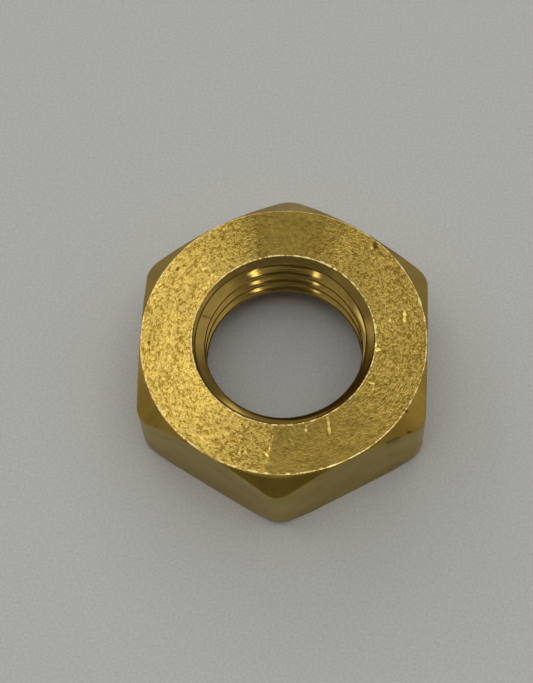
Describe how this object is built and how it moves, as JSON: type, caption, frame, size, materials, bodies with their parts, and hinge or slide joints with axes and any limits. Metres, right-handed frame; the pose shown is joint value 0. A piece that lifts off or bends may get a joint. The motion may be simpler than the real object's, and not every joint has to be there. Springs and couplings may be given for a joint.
{
  "type": "hexagonal pipe nut",
  "caption": "Flat brass hexagonal nut with a female pipe thread, chamfered on both faces and countersunk at both ends of the bore.",
  "frame": {"origin": "centre of the lower face, which rests on the surface", "axes": "+Z along the thread axis, from the lower face to the upper face; two of the six flats face +X and -X, and two corners point at +Y and -Y"},
  "size_m": [0.0208, 0.0236, 0.0074],
  "materials": {
    "brass": "turned upper face with fine crinkled tool marks, smooth drawn flats, plain turned chamfers and bore"
  },
  "bodies": {
    "root": {"hex_nut": "brass"}
  },
  "joints": []
}
